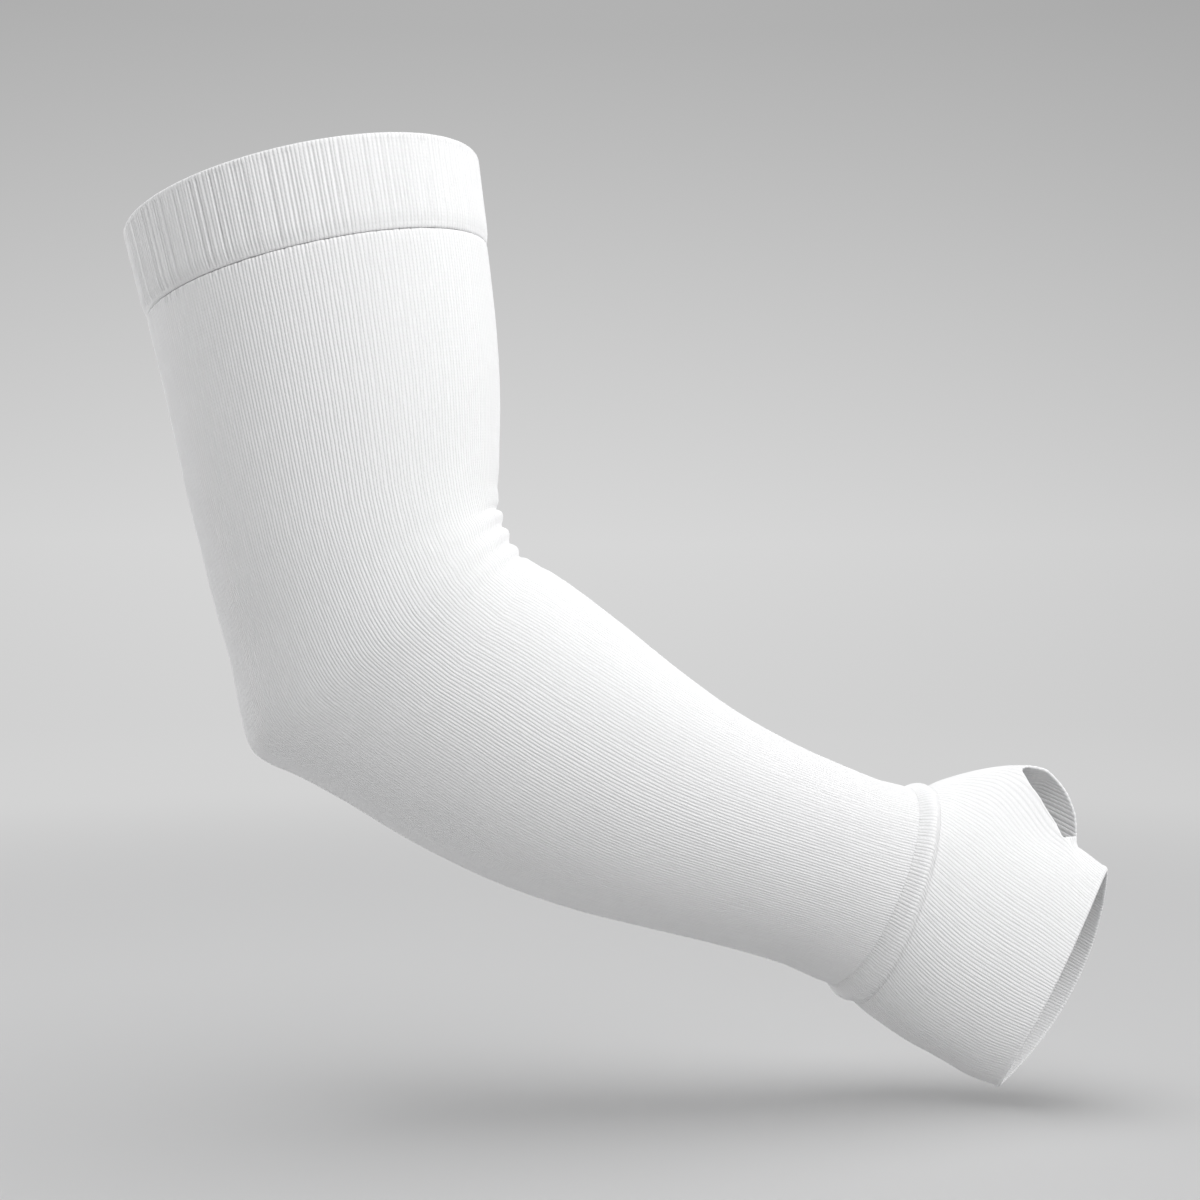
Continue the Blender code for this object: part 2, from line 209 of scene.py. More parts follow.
# Creases in the crook, and the elbow's point. station: place along the arm. turn_deg: place round it, from
# the inside of the elbow. dip: how far the cloth goes in. length: of the dip, along the arm. reach_deg: how
# far it runs each way round the arm. slant: how far it drifts along the arm for each radian towards the near
# side. sharpness: 2 for a round hollow, less for a notch between two rolls.
CREASE_DIP = 0.0026
CREASE_LENGTH = 0.0050
ELBOW_POINT_RISE = 0.0016
ELBOW_POINT_LENGTH = 0.0300
FOLD_COLUMNS = ("station", "turn_deg", "dip", "length", "reach_deg", "slant", "sharpness")
FOLDS = (
    (0.815, 0.0, 0.25 * CREASE_DIP, 1.30 * CREASE_LENGTH, 30.0, 0.30 * CREASE_LENGTH, 2.0),
    (0.900, 0.0, 0.90 * CREASE_DIP, 1.10 * CREASE_LENGTH, 42.0, 0.40 * CREASE_LENGTH, 1.5),
    (0.973, 0.0, 1.05 * CREASE_DIP, 1.10 * CREASE_LENGTH, 48.0, 0.20 * CREASE_LENGTH, 1.5),
    (1.019, 0.0, 1.05 * CREASE_DIP, 1.05 * CREASE_LENGTH, 48.0, 0.00 * CREASE_LENGTH, 1.5),
    (1.064, 0.0, 0.75 * CREASE_DIP, 1.00 * CREASE_LENGTH, 38.0, -0.40 * CREASE_LENGTH, 1.5),
    (1.000, 180.0, -1.0 * ELBOW_POINT_RISE, 1.0 * ELBOW_POINT_LENGTH, 40.0, 0.0, 2.0),
)

# Camera, level at the photograph's height and distance
CAMERA_PLACE = (0.1150, -0.705, -0.1534)
CAMERA_LENS_MM = 55.0

# Stage: a floor, a cove and a wall. Further out than its fade it glows evenly, by height above the floor,
# and less to either side of its bright middle. Nearer than that it glows by a small share.
FLOOR_LEVEL = -0.349
FLOOR_INNER_RADIUS = 0.4
FLOOR_RADIUS = 1.9
FLOOR_RINGS = 6
COVE_RADIUS = 1.3
COVE_STEPS = 12
WALL_TOP = 1.9
STAGE_SIDES = 96
MERGE_DISTANCE = 0.0001
STAGE_SURFACE = (("Roughness", 0.95), ("Specular IOR Level", 0.1))
STAGE_GREY = 0.62
STAGE_FADE = (0.50, 1.25)
NEAR_GLOW = 0.15
STAGE_GLOW = ((0.0, 0.64), (0.30, 0.68), (0.80, 0.58), (1.40, 0.45), (2.25, 0.40))
BRIGHT_X = -0.12
SIDE_DIMMING = 0.055
SIDE_LIMIT = 3.0

# Lights, placed round the middle of the sleeve. turn_deg: from the camera's side towards the hand. The key
# and the rims light the sleeve alone, and the floor light the stage alone, so that the shadow lies straight
# below.
LIGHT_COLUMNS = ("name", "turn_deg", "elevation_deg", "distance", "size", "watts")
SLEEVE_LIGHTS = (
    ("key_light", 38.0, 46.0, 1.8, 1.4, 27.5),
    ("hand_rim_light", 130.0, 35.0, 1.7, 0.9, 6.0),
    ("elbow_rim_light", -120.0, 20.0, 1.7, 0.7, 12.0),
)
STAGE_LIGHTS = (("floor_light", 0.0, 88.0, 2.2, 2.3, 27.0),)
LIGHT_TARGET = (0.12, 0.0, -0.16)
WORLD_STRENGTH = 0.40
WORLD_COLOUR = (0.98, 0.985, 1.0, 1.0)

# Surface of the knit. The patches' scale is for each metre, and the others' for each rib and course.
Noise = namedtuple("Noise", ("scale", "detail"))
PATCH_NOISE = Noise(38.0, 4.0)
STROKE_NOISE = Noise(1.0, 3.0)
SWAY_NOISE = Noise(0.6, 1.0)
STROKE_STRETCH = (0.9, 0.16, 1.0)
RIB_SWAY = 0.5
COURSE_DRIFT = 1.5
STRAND_SLANT = 0.5
DOME_POWER = 2.2
STROKE_SHARE = 1.3
STRAND_SHARE = 0.25
BUMP_STRENGTH = 0.6
BUMP_DISTANCE = 0.0004
# Painted shade: the base colour runs from the valley colour to the crest colour with the rib height, so the
# valleys are darker as if shade lay in the grooves. The patches add random tone.
VALLEY_SHADE_BY_HEIGHT = 0.8
PATCH_TINT = 0.3
PAINTED_VALLEY_SHADE = (0.80, 0.80, 0.807, 1.0)
CREST_WHITE = (0.885, 0.885, 0.887, 1.0)
KNIT_SURFACE = (
    ("Roughness", 0.85),
    ("Sheen Weight", 0.25),
    ("Sheen Roughness", 0.5),
    ("Specular IOR Level", 0.25),
    ("Subsurface Weight", 0.25),
    ("Subsurface Radius", (1.0, 1.0, 1.0)),
    ("Subsurface Scale", 0.0012),
)

# Sizes that follow from those above
BAND_SEAT = BAND_WALL - BAND_PROUD
BAND_EDGE_BULGE = BAND_WALL / 2
WELT_HALF = WELT_WIDTH / 2
STATION_LENGTHS = np.cumsum((0.0, UPPER_LENGTH, FOREARM_LENGTH, HAND_LENGTH))
WRIST_AT = STATION_LENGTHS[2]
HEM_AT = STATION_LENGTHS[3]
HEM_RIM_AT = HEM_AT - KNIT_WALL / 2
HEM_FINE_FROM = HEM_RIM_AT - 3 * HEM_BEAD_LENGTH


def smooth_column(places, values, where):
    """Values between the table's rows, on a curve with no overshoot."""
    places, values, where = (np.asarray(a, float) for a in (places, values, where))
    step = np.diff(places)
    secant = np.diff(values) / step
    slope = np.empty_like(values)
    slope[0], slope[-1] = secant[0], secant[-1]
    left, right = secant[:-1], secant[1:]
    same_way = left * right > 0
    slope[1:-1] = np.where(same_way, 2 * left * right / np.where(same_way, left + right, 1.0), 0.0)
    where = np.clip(where, places[0], places[-1])
    i = np.clip(np.searchsorted(places, where) - 1, 0, len(step) - 1)
    u = (where - places[i]) / step[i]
    return (
        values[i] * (1 + 2 * u) * (1 - u) ** 2
        + slope[i] * step[i] * u * (1 - u) ** 2
        + values[i + 1] * u**2 * (3 - 2 * u)
        - slope[i + 1] * step[i] * u**2 * (1 - u)
    )


def table_value(table, columns, name, place):
    """A column's value between the rows of a table, whose first column holds the places."""
    rows = np.array(table, float)
    return smooth_column(rows[:, 0], rows[:, columns.index(name)], place)


def section_value(name, station):
    return table_value(SECTIONS, SECTION_COLUMNS, name, station)


def station_at(length):
    return np.interp(length, STATION_LENGTHS, range(len(STATION_LENGTHS)))


def length_at(station):
    return np.interp(station, range(len(STATION_LENGTHS)), STATION_LENGTHS)


def centre_line():
    """Lengths along the centre line and its points, summed from the headings in the table."""
    lengths = np.linspace(0.0, HEM_AT, STEPS_PER_PATH + 1)
    middles = station_at((lengths[:-1] + lengths[1:]) / 2)
    heading = np.radians(section_value("heading", middles))
    lean = np.radians(section_value("lean", middles))
    steps = np.column_stack((np.sin(heading) * np.cos(lean), np.sin(lean), -np.cos(heading) * np.cos(lean)))
    points = np.vstack((np.zeros(3), np.cumsum(steps, axis=0) * (lengths[1] - lengths[0])))
    return lengths, points


PATH_LENGTHS, PATH_POINTS = centre_line()


def ring_frame(length):
    """Centre of the section there, its across and depth directions, and the direction along the arm."""
    station = station_at(length)
    centre = np.array([np.interp(length, PATH_LENGTHS, PATH_POINTS[:, axis]) for axis in range(3)])
    ring = math.radians(section_value("ring", station))
    lean = math.radians(section_value("lean", station))
    across = np.array((math.cos(ring), 0.0, math.sin(ring)))
    along = np.array((math.sin(ring), 0.0, -math.cos(ring)))
    depth = np.array((0.0, math.cos(lean), 0.0)) - along * math.sin(lean)
    return centre, across, depth, along


def wrapped(angle):
    """The angle brought between minus half a turn and half a turn."""
    return (np.asarray(angle) + math.pi) % (2 * math.pi) - math.pi


def smooth_step(share):
    share = np.clip(share, 0.0, 1.0)
    return share**2 * (3 - 2 * share)


def fold_dip(length, turns):
    """How far the folds pull the cloth in at each turn angle."""
    total = np.zeros_like(turns)
    for row in FOLDS:
        fold = dict(zip(FOLD_COLUMNS, row))
        off_middle = wrapped(turns - math.radians(fold["turn_deg"]))
        along = (length - length_at(fold["station"]) + fold["slant"] * off_middle) / (fold["length"] / 2)
        around = np.degrees(off_middle) / fold["reach_deg"]
        total += fold["dip"] * np.exp(-np.abs(along) ** fold["sharpness"] - around**2)
    return total


def plain_outline(length, turns):
    """The outline in the section's plane, before folds and the thumb: across and depth for each turn."""
    station = station_at(length)
    half_width = section_value("width", station) / 2
    half_depth = half_width * section_value("depth", station)
    sine, cosine = np.sin(turns), np.cos(turns)
    edged = np.sign(sine) * np.abs(sine) ** section_value("edge", station)
    depth = half_depth * edged * (1 + section_value("egg", station) * cosine)
    across = half_width * cosine - section_value("skew", station) * depth
    return np.column_stack((across, depth))


def in_space(length, outline):
    """Points of a section's outline, brought from its own plane into the model's frame."""
    centre, across, depth, _ = ring_frame(length)
    return centre + np.outer(outline[:, 0], across) + np.outer(outline[:, 1], depth)


def thumb_height(length, turns):
    """How far the thumb's bulge stands out from the hand, as if it ran on to the hem."""
    past_wrist = length - WRIST_AT
    rise = np.clip((past_wrist - WELT_HALF) / (THUMB_REACH - WELT_HALF), 0.0, 1.0)
    off_middle = np.degrees(wrapped(turns - math.radians(THUMB_TURN_DEG)))
    drawn_in = smooth_step((past_wrist / THUMB_REACH - THUMB_NARROWING_START) / THUMB_NARROWING_RUN)
    narrowing = THUMB_NEAR_NARROWING_DEG * drawn_in
    spread = np.where(off_middle < 0, THUMB_NEAR_SPREAD_DEG - narrowing, THUMB_FAR_SPREAD_DEG)
    return THUMB_RISE * rise * np.exp(-(np.abs(off_middle / spread) ** THUMB_ROUNDNESS))


def lip_at(turns):
    """How far past the wrist the lip of the thumb's mouth lies at each turn angle."""
    return table_value(THUMB_LIP, LIP_COLUMNS, "past_wrist", np.degrees(wrapped(turns)))


def thumb_bulge(length, turns):
    """The bulge as it stays: whole up to its lip and the web, and gone a short way past them."""
    past = length - WRIST_AT - np.maximum(lip_at(turns), THUMB_WEB)
    return thumb_height(length, turns) * (1 - smooth_step(past / THUMB_FALL))


def mouth_level(length, turns):
    """Above zero where the thumb's mouth is open: past its lip, and higher than its sill."""
    return np.minimum(length - WRIST_AT - lip_at(turns), thumb_bulge(length, turns) - MOUTH_SILL)


def section_outline(length, turns):
    outline = plain_outline(length, turns)
    outline[:, 0] += thumb_bulge(length, turns) - fold_dip(length, turns) * np.cos(turns)
    return outline


def rib_turns(length, knit):
    """Turn angles of the points round the section: three for each rib, from the far side on."""
    turns = FAR_TURN + np.linspace(0.0, 2 * math.pi, ARC_SAMPLES + 1)
    steps = np.linalg.norm(np.diff(plain_outline(length, turns), axis=0), axis=1)
    arc = np.concatenate(((0.0,), np.cumsum(steps)))
    jitter = RIB_JITTER * np.random.default_rng(KNIT_SEED).uniform(-1.0, 1.0, knit.ribs)
    places = np.arange(knit.ribs * POINTS_PER_RIB) / POINTS_PER_RIB + np.repeat(jitter, POINTS_PER_RIB)
    share = places / knit.ribs
    crowding = knit.far_crowding * smooth_step(station_at(length) - 1)
    share = share - crowding * np.sin(2 * math.pi * share) / (2 * math.pi)
    return np.interp(share * arc[-1], arc, turns)


def mitred_normals(outline):
    """Outward vector at each corner of a closed outline, long enough to move both its sides by one unit."""
    before = outline - np.roll(outline, 1, axis=0)
    after = np.roll(outline, -1, axis=0) - outline
    sides = []
    for way in (before, after):
        sides.append(np.column_stack((way[:, 1], -way[:, 0])) / np.linalg.norm(way, axis=1)[:, None])
    middle = sides[0] + sides[1]
    middle /= np.linalg.norm(middle, axis=1)[:, None]
    return middle / np.maximum((middle * sides[0]).sum(axis=1), MITRE_LIMIT)[:, None]


def rib_heights(length, knit):
    """Height of the ribs at each point round the arm: one low point and two high ones for each rib."""
    heights = np.tile(RIB_SHAPE, knit.ribs)
    phase = np.random.default_rng(KNIT_SEED).uniform(0.0, 2 * math.pi, knit.ribs)
    change = RELIEF_CHANGE * np.sin(length / RELIEF_WAVE + np.repeat(phase, POINTS_PER_RIB))
    return RIB_RELIEF * heights * (1 + change)


def pucker_depths(length, knit):
    """How far the seam's stitches draw the cloth in just under the band, each rib by a different amount."""
    near = 1 - smooth_step((length - BAND_HEIGHT - SHOULDER_LENGTH / 2) / PUCKER_LENGTH)
    pull = np.random.default_rng(KNIT_SEED + 1).uniform(*PUCKER_PULL, knit.ribs) ** PUCKER_CONTRAST
    return PUCKER_DEPTH * near * np.repeat(pull, POINTS_PER_RIB) * np.tile(PUCKER_SHAPE, knit.ribs)


def ring_points(length, inset, relief, knit):
    """Points round the arm at that length, moved in from its skin by the inset. Relief scales the ribs."""
    turns = rib_turns(length, knit)
    outline = section_outline(length, turns)
    inset = inset - relief * rib_heights(length, knit) + max(relief, 0.0) * pucker_depths(length, knit)
    outline = outline - mitred_normals(outline) * inset[:, None]
    bow = HEM_BOW * np.clip((length - WRIST_AT) / HAND_LENGTH, 0.0, 1.0) ** 2 * np.sin(turns) ** 2
    _, _, _, along = ring_frame(length)
    return in_space(length, outline) + np.outer(bow, along)


def add_piece(name, mesh, material):
    mesh.shade_smooth()
    mesh.materials.append(material)
    piece = bpy.data.objects.new(name, mesh)
    bpy.context.scene.collection.objects.link(piece)
    return piece


def swept_mesh(name, profile, knit, closed=True):
    """Cloth swept round the arm along rows of (length, inset, relief), with UVs in ribs and courses."""
    sides = knit.ribs * POINTS_PER_RIB
    rows = np.array([ring_points(*row, knit) for row in profile])
    count = len(profile) if closed else len(profile) - 1
    row = np.repeat(np.arange(count), sides)
    column = np.tile(np.arange(sides), count)
    next_row = (row + 1) % len(profile)
    next_column = (column + 1) % sides
    corners = ((row, column), (row, next_column), (next_row, next_column), (next_row, column))
    faces = np.column_stack([r * sides + c for r, c in corners])
    mesh = bpy.data.meshes.new(name)
    mesh.from_pydata(rows.reshape(-1, 3), [], faces.tolist())
    courses = np.array([length for length, _, _ in profile]) / COURSE_HEIGHT
    across = np.column_stack((column, column + 1, column + 1, column)) / POINTS_PER_RIB
    along = np.column_stack((courses[row], courses[row], courses[next_row], courses[next_row]))
    stitches = mesh.uv_layers.new(name="knit")
    stitches.data.foreach_set("uv", np.stack((across, along), axis=-1).astype(np.float32).ravel())
    shell = bmesh.new()
    shell.from_mesh(mesh)
    bmesh.ops.recalc_face_normals(shell, faces=shell.faces)
    shell.to_mesh(mesh)
    shell.free()
    return mesh


def edge_arc(length, inset_out, inset_in, bulge, steps):
    """Profile rows of a rounded edge, from the outer inset to the inner one, standing out by the bulge."""
    angles = np.linspace(0.0, math.pi, steps + 1)
    middle, half = (inset_out + inset_in) / 2, (inset_in - inset_out) / 2
    return [(length + bulge * math.sin(a), middle - half * math.cos(a), 0.0) for a in angles]


def even_lengths(start, end, spacing):
    count = max(1, round((end - start) / spacing))
    return list(np.linspace(start, end, count + 1))


def lengths_through(start, *stretches):
    """Lengths from the start on, through stretches of (end, spacing)."""
    lengths = [start]
    for end, spacing in stretches:
        lengths += even_lengths(lengths[-1], end, spacing)[1:]
    return lengths


def upper_band(material):
    """The doubled band at the top, its cloth turned over at both edges and rolled in at the lower one."""
    top, bottom = BAND_EDGE_BULGE, BAND_HEIGHT - BAND_EDGE_BULGE
    lengths = even_lengths(top, bottom, BAND_SPACING)[1:-1]
    outer = [(length, band_skin(length), 1.0) for length in lengths]
    inner = [(length, BAND_SEAT, 0.0) for length in reversed(lengths[::BAND_INNER_STRIDE])]
    lower_edge = edge_arc(bottom, band_skin(bottom), BAND_SEAT, BAND_EDGE_BULGE, BAND_EDGE_STEPS)
    upper_edge = edge_arc(top, -BAND_PROUD, BAND_SEAT, -BAND_EDGE_BULGE, BAND_EDGE_STEPS)
    profile = outer + lower_edge + inner + upper_edge[::-1]
    return add_piece("band_cloth", swept_mesh("band_cloth", profile, ARM_KNIT), material)


def band_skin(length):
    """Inset of the band's outer face, which rolls in towards its seam."""
    share = np.clip((length - BAND_HEIGHT + BAND_ROLL) / BAND_ROLL, 0.0, 1.0)
    return -BAND_PROUD + BAND_ROLL_DROP * share**2


def tucked_inset(length):
    """How far the cloth draws in: under the band, in the grooves beside the welt, and under the welt."""
    shoulder = smooth_step((length - BAND_HEIGHT + SHOULDER_START) / SHOULDER_LENGTH)
    under_band = (BAND_SEAT + SEAM_GAP) * (1 - shoulder)
    past_welt = abs(length - WRIST_AT) - WELT_REACH
    groove = GROOVE_DIP * (1 - smooth_step(past_welt / GROOVE_LENGTH))
    dive = (WELT_SEAT + SEAM_GAP - GROOVE_DIP) * (1 - smooth_step(past_welt / DIVE_LENGTH + 1))
    return under_band + groove + dive


def cloth_rows(lengths, side):
    """Profile rows of a single layer: side 1 is its outer face, with ribs, and 0 its smooth inner one."""
    wall = KNIT_WALL * (1 - side)
    return [(length, tucked_inset(length) + wall, side) for length in lengths]


def lengths_by_welt(start, end):
    """Closely spaced lengths from under the welt, through the groove beside it, to the plain cloth."""
    way = math.copysign(1.0, end - start)
    dive = [WRIST_AT + way * (WELT_REACH - DIVE_LENGTH * share) for share in DIVE_SHARES]
    groove = [WRIST_AT + way * (WELT_REACH + GROOVE_LENGTH * share) for share in GROOVE_SHARES]
    return [start] + dive + groove + [end]


def sleeve_body(material):
    """The long tube, tucked into the band above and under the welt at the wrist."""
    start, end = BAND_HEIGHT - BAND_LAP, WRIST_AT - SEAM_GAP
    neck_start = BAND_HEIGHT - SHOULDER_START
    neck_end = neck_start + SHOULDER_LENGTH
    folds_start, folds_end = (length_at(station) for station in FOLDS_SPAN)
    clear = WRIST_AT - WELT_REACH - GROOVE_LENGTH
    outer = [start] + lengths_through(
        neck_start,
        (neck_end, SHOULDER_SPACING),
        (neck_end + 2 * PUCKER_LENGTH, PUCKER_SPACING),
        (folds_start, PLAIN_SPACING),
        (folds_end, FOLD_SPACING),
        (clear, PLAIN_SPACING),
    )
    outer += lengths_by_welt(end, clear)[-2::-1]
    inner = [start, neck_start] + lengths_through(
        neck_end,
        (folds_start, INNER_PLAIN_SPACING),
        (folds_end, INNER_FOLD_SPACING),
        (clear, INNER_PLAIN_SPACING),
    )
    inner += lengths_by_welt(end, clear)[-2::-2]
    profile = cloth_rows(outer, 1.0) + cloth_rows(reversed(inner), 0.0)
    return add_piece("sleeve_cloth", swept_mesh("sleeve_cloth", profile, ARM_KNIT), material)


def wrist_welt(material):
    """The raised welt round the wrist, seated over the ends of the tube and the hand cover."""
    outer = []
    for share in np.linspace(-1.0, 1.0, WELT_ROWS):
        crown = 0.5 + 0.5 * math.cos(math.pi * share)
        outer.append((WRIST_AT + WELT_REACH * share, GROOVE_DIP - (GROOVE_DIP + WELT_PROUD) * crown, 1.0))
    edge = WELT_REACH + (WELT_SEAT - GROOVE_DIP) / 3
    lip = (GROOVE_DIP + WELT_SEAT) / 2
    inner = [(WRIST_AT + edge, lip, WELT_EDGE_RELIEF)]
    inner += [(WRIST_AT + WELT_REACH * share, WELT_SEAT, 0.0) for share in WELT_INNER_SHARES]
    inner += [(WRIST_AT - edge, lip, WELT_EDGE_RELIEF)]
    return add_piece("welt_cloth", swept_mesh("welt_cloth", outer + inner, HAND_KNIT), material)


def cut_open(skin, under, level):
    """Splits the skin where the level is zero and takes away what lies higher.

    Under holds the inner layer's place for each vertex, and gets those of the new vertices.
    """
    on_line = set()
    for edge in list(skin.edges):
        a, b = edge.verts
        if (level[a] > 0) == (level[b] > 0):
            continue
        share = level[a] / (level[a] - level[b])
        _, middle = bmesh.utils.edge_split(edge, a, share)
        level[middle] = 0.0
        under[middle] = under[a].lerp(under[b], share)
        on_line.add(middle)
    for face in list(skin.faces):
        ends = [v for v in face.verts if v in on_line]
        if len(ends) == 2:
            bmesh.utils.face_split(face, ends[0], ends[1])
    gone = [face for face in skin.faces if max(level[v] for v in face.verts) > 0]
    bmesh.ops.delete(skin, geom=gone, context="FACES")


def boundary_directions(skin):
    """For each vertex on an edge of the cloth, the direction out of it, past the edge."""
    outward = {}
    for edge in skin.edges:
        if not edge.is_boundary:
            continue
        loop = edge.link_loops[0]
        run = (loop.link_loop_next.vert.co - loop.vert.co).normalized()
        out = run.cross(loop.face.normal)
        for vert in edge.verts:
            outward[vert] = outward.get(vert, Vector()) + out
    return {vert: out.normalized() for vert, out in outward.items()}


def rim_ends(skin, stitches):
    """Both ends of every free edge, with their UVs."""
    ends = []
    for edge in skin.edges:
        if edge.is_boundary:
            first = edge.link_loops[0]
            second = first.link_loop_next
            ends.append((first.vert, second.vert, first[stitches].uv.copy(), second[stitches].uv.copy()))
    return ends


def add_inner_layer(skin, under, stitches):
    """Copies the skin to the inner layer's places, turned inside out. Returns each vertex's copy."""
    outer_faces = list(skin.faces)
    inner = {vert: skin.verts.new(under[vert]) for vert in list(skin.verts)}
    for face in outer_faces:
        copy = skin.faces.new([inner[v] for v in reversed(face.verts)])
        for new_loop, old_loop in zip(copy.loops, reversed(face.loops)):
            new_loop[stitches].uv = old_loop[stitches].uv
    return inner


def rim_arc(skin, vert, low, out):
    """Vertices of the rounded edge, from the outer vertex to its inner copy."""
    across = low.co - vert.co
    bulge = across.length / 2
    arc = [vert]
    for step in range(1, RIM_STEPS):
        angle = math.pi * step / RIM_STEPS
        place = vert.co + across * (1 - math.cos(angle)) / 2 + out * (bulge * math.sin(angle))
        arc.append(skin.verts.new(place))
    return arc + [low]


def thicken(skin, under):
    """Gives a single layer its inner face, and rounds every free edge between the two."""
    skin.normal_update()
    stitches = skin.loops.layers.uv.active
    ends = rim_ends(skin, stitches)
    outward = boundary_directions(skin)
    inner = add_inner_layer(skin, under, stitches)
    arcs = {vert: rim_arc(skin, vert, inner[vert], out) for vert, out in outward.items()}
    for a, b, uv_a, uv_b in ends:
        for k in range(RIM_STEPS):
            face = skin.faces.new((arcs[b][k], arcs[a][k], arcs[a][k + 1], arcs[b][k + 1]))
            for loop, uv in zip(face.loops, (uv_b, uv_a, uv_a, uv_b)):
                loop[stitches].uv = uv
    bmesh.ops.recalc_face_normals(skin, faces=skin.faces)


def hand_row(length):
    """Profile row of the hand cover's outer face: its ribs fade into a slightly rolled rim at the hem."""
    to_rim = (HEM_RIM_AT - length) / HEM_BEAD_LENGTH
    bead = HEM_BEAD * math.exp(-((to_rim - 1) ** 2))
    return length, tucked_inset(length) - bead, float(smooth_step(to_rim / 2))


def hand_cover(material):
    """The mitt-like end: a flattened tube with a hem, and the thumb's bulge with its mouth cut open."""
    clear = WRIST_AT + WELT_REACH + GROOVE_LENGTH
    lengths = lengths_by_welt(WRIST_AT + SEAM_GAP, clear)[:-1]
    lengths += lengths_through(clear, (HEM_FINE_FROM, HAND_SPACING), (HEM_RIM_AT, HEM_BEAD_LENGTH / 2))
    mesh = swept_mesh("hand_cloth", [hand_row(length) for length in lengths], HAND_KNIT, closed=False)
    inner_rows = [ring_points(*row, HAND_KNIT) for row in cloth_rows(lengths, 0.0)]
    skin = bmesh.new()
    skin.from_mesh(mesh)
    levels = np.concatenate([mouth_level(length, rib_turns(length, HAND_KNIT)) for length in lengths])
    under = {vert: Vector(place) for vert, place in zip(skin.verts, np.vstack(inner_rows))}
    cut_open(skin, under, dict(zip(skin.verts, levels.tolist())))
    thicken(skin, under)
    skin.to_mesh(mesh)
    skin.free()
    return add_piece("hand_cloth", mesh, material)


class Nodes:
    """Short calls for building a material's nodes."""

    def __init__(self, material):
        self.tree = material.node_tree

    def add(self, kind, **settings):
        node = self.tree.nodes.new(kind)
        for name, value in settings.items():
            setattr(node, name, value)
        return node

    def feed(self, socket, value):
        if isinstance(value, bpy.types.NodeSocket):
            self.tree.links.new(value, socket)
        else:
            socket.default_value = value

    def math(self, operation, *values):
        node = self.add("ShaderNodeMath", operation=operation)
        for socket, value in zip(node.inputs, values):
            self.feed(socket, value)
        return node.outputs[0]

    def wave(self, value):
        """Goes from 0 to 1 and back for each whole step of the value."""
        return self.math("MULTIPLY", self.math("PINGPONG", value, 0.5), 2.0)

    def noise(self, vector, scale, detail):
        node = self.add("ShaderNodeTexNoise")
        self.feed(node.inputs["Vector"], vector)
        node.inputs["Scale"].default_value = scale
        node.inputs["Detail"].default_value = detail
        return node.outputs["Fac"]

    def mix_colours(self, factor, first, second):
        node = self.add("ShaderNodeMix", data_type="RGBA")
        self.feed(node.inputs["Factor"], factor)
        self.feed(node.inputs[6], first)
        self.feed(node.inputs[7], second)
        return node.outputs[2]


def new_material(name, surface):
    """A material with those surface values, its shader, and the short calls for its nodes."""
    material = bpy.data.materials.new(name)
    material.use_nodes = True
    shader = material.node_tree.nodes["Principled BSDF"]
    for socket, value in surface:
        shader.inputs[socket].default_value = value
    return material, shader, Nodes(material)


def stitch_height(nodes, patches):
    """Height of the stitches: domed ribs with slanted strands and uneven strokes.

    It comes from the cloth's own UVs, which count ribs and courses.
    """
    stitches = nodes.add("ShaderNodeUVMap", uv_map="knit")
    split = nodes.add("ShaderNodeSeparateXYZ")
    nodes.feed(split.inputs[0], stitches.outputs[0])
    stretched = nodes.add("ShaderNodeVectorMath", operation="MULTIPLY")
    nodes.feed(stretched.inputs[0], stitches.outputs[0])
    stretched.inputs[1].default_value = STROKE_STRETCH
    strokes = nodes.noise(stretched.outputs[0], *STROKE_NOISE)
    sway = nodes.noise(stretched.outputs[0], *SWAY_NOISE)
    off_straight = nodes.math("MULTIPLY", nodes.math("SUBTRACT", sway, 0.5), RIB_SWAY)
    rib = nodes.math("ADD", split.outputs[0], off_straight)
    course = nodes.math("ADD", split.outputs[1], nodes.math("MULTIPLY", patches, COURSE_DRIFT))
    off_middle = nodes.wave(nodes.math("ADD", rib, 0.5))
    strand = nodes.wave(nodes.math("ADD", course, nodes.math("MULTIPLY", off_middle, STRAND_SLANT)))
    dome = nodes.math("SUBTRACT", 1.0, nodes.math("POWER", off_middle, DOME_POWER))
    stroke_part = nodes.math("MULTIPLY", strokes, STROKE_SHARE)
    fullness = nodes.math("ADD", stroke_part, nodes.math("MULTIPLY", strand, STRAND_SHARE))
    return nodes.math("MULTIPLY", dome, fullness)


def knit_material():
    """White knit: stitches in bump, and a slight change of colour that paints shade into the rib valleys,
    with random patches.
    """
    material, shader, nodes = new_material("white_knit_cloth", KNIT_SURFACE)
    places = nodes.add("ShaderNodeTexCoord")
    patches = nodes.noise(places.outputs["Object"], *PATCH_NOISE)
    height = stitch_height(nodes, patches)
    bump = nodes.add("ShaderNodeBump")
    bump.inputs["Strength"].default_value = BUMP_STRENGTH
    bump.inputs["Distance"].default_value = BUMP_DISTANCE
    nodes.feed(bump.inputs["Height"], height)
    nodes.feed(shader.inputs["Normal"], bump.outputs[0])
    # Painted shade in the rib valleys, following the rib height, mixed with random patches of tone
    shade_by_height = nodes.math("MULTIPLY", height, VALLEY_SHADE_BY_HEIGHT)
    valley_shade_and_patches = nodes.math("ADD", shade_by_height, nodes.math("MULTIPLY", patches, PATCH_TINT))
    nodes.feed(shader.inputs["Base Color"], nodes.mix_colours(valley_shade_and_patches, PAINTED_VALLEY_SHADE, CREST_WHITE))
    return material


def grey(brightness):
    return (brightness, brightness, brightness, 1.0)


